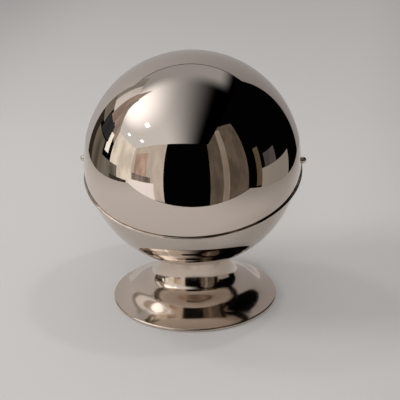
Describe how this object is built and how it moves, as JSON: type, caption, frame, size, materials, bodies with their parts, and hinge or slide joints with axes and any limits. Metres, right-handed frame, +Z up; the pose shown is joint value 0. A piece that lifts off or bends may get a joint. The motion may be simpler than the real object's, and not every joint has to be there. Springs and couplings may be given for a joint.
{
  "type": "roll-top globe bowl",
  "caption": "Mirror-polished metal globe bowl on an ogee foot, with a roll-top lid that turns back on side pivots for sugar or sweets.",
  "frame": {"origin": "centre of the foot's resting ring, on the table", "axes": "+Z up, -Y to the front that the lid opens from, X along the pivot line"},
  "size_m": [0.1328, 0.1266, 0.1509],
  "materials": {
    "polished_shell": "mirror-polished spun sheet, slightly warm",
    "bright_fittings": "polished turned metal",
    "plain_steel": "plain bright steel",
    "fibre": "thin pale fibre",
    "seal_rubber": "matt black rubber"
  },
  "bodies": {
    "base": {"bowl": "polished_shell", "bowl_rim_wire": "plain_steel", "pivot_stud_left": "bright_fittings", "pivot_stud_right": "bright_fittings", "pivot_spacer_left": "fibre", "pivot_spacer_right": "fibre", "pivot_lock_washer_left": "plain_steel", "pivot_lock_washer_right": "plain_steel", "pivot_cap_nut_left": "bright_fittings", "pivot_cap_nut_right": "bright_fittings", "foot": "polished_shell", "foot_rim_wire": "plain_steel", "foot_screw": "bright_fittings", "foot_seal_washer": "seal_rubber", "foot_clamp_plate": "plain_steel", "foot_lock_washer": "plain_steel", "foot_nut": "plain_steel"},
    "lid": {"lid_shell": "polished_shell", "lid_edge_wire": "plain_steel", "lid_stop_tab": "plain_steel"}
  },
  "joints": [
    {"name": "lid_roll", "type": "hinge", "parent": "base", "child": "lid", "pos_m": [0, 0, 0.0874], "axis": [-1, 0, 0], "range_deg": [0, 81.5]}
  ]
}
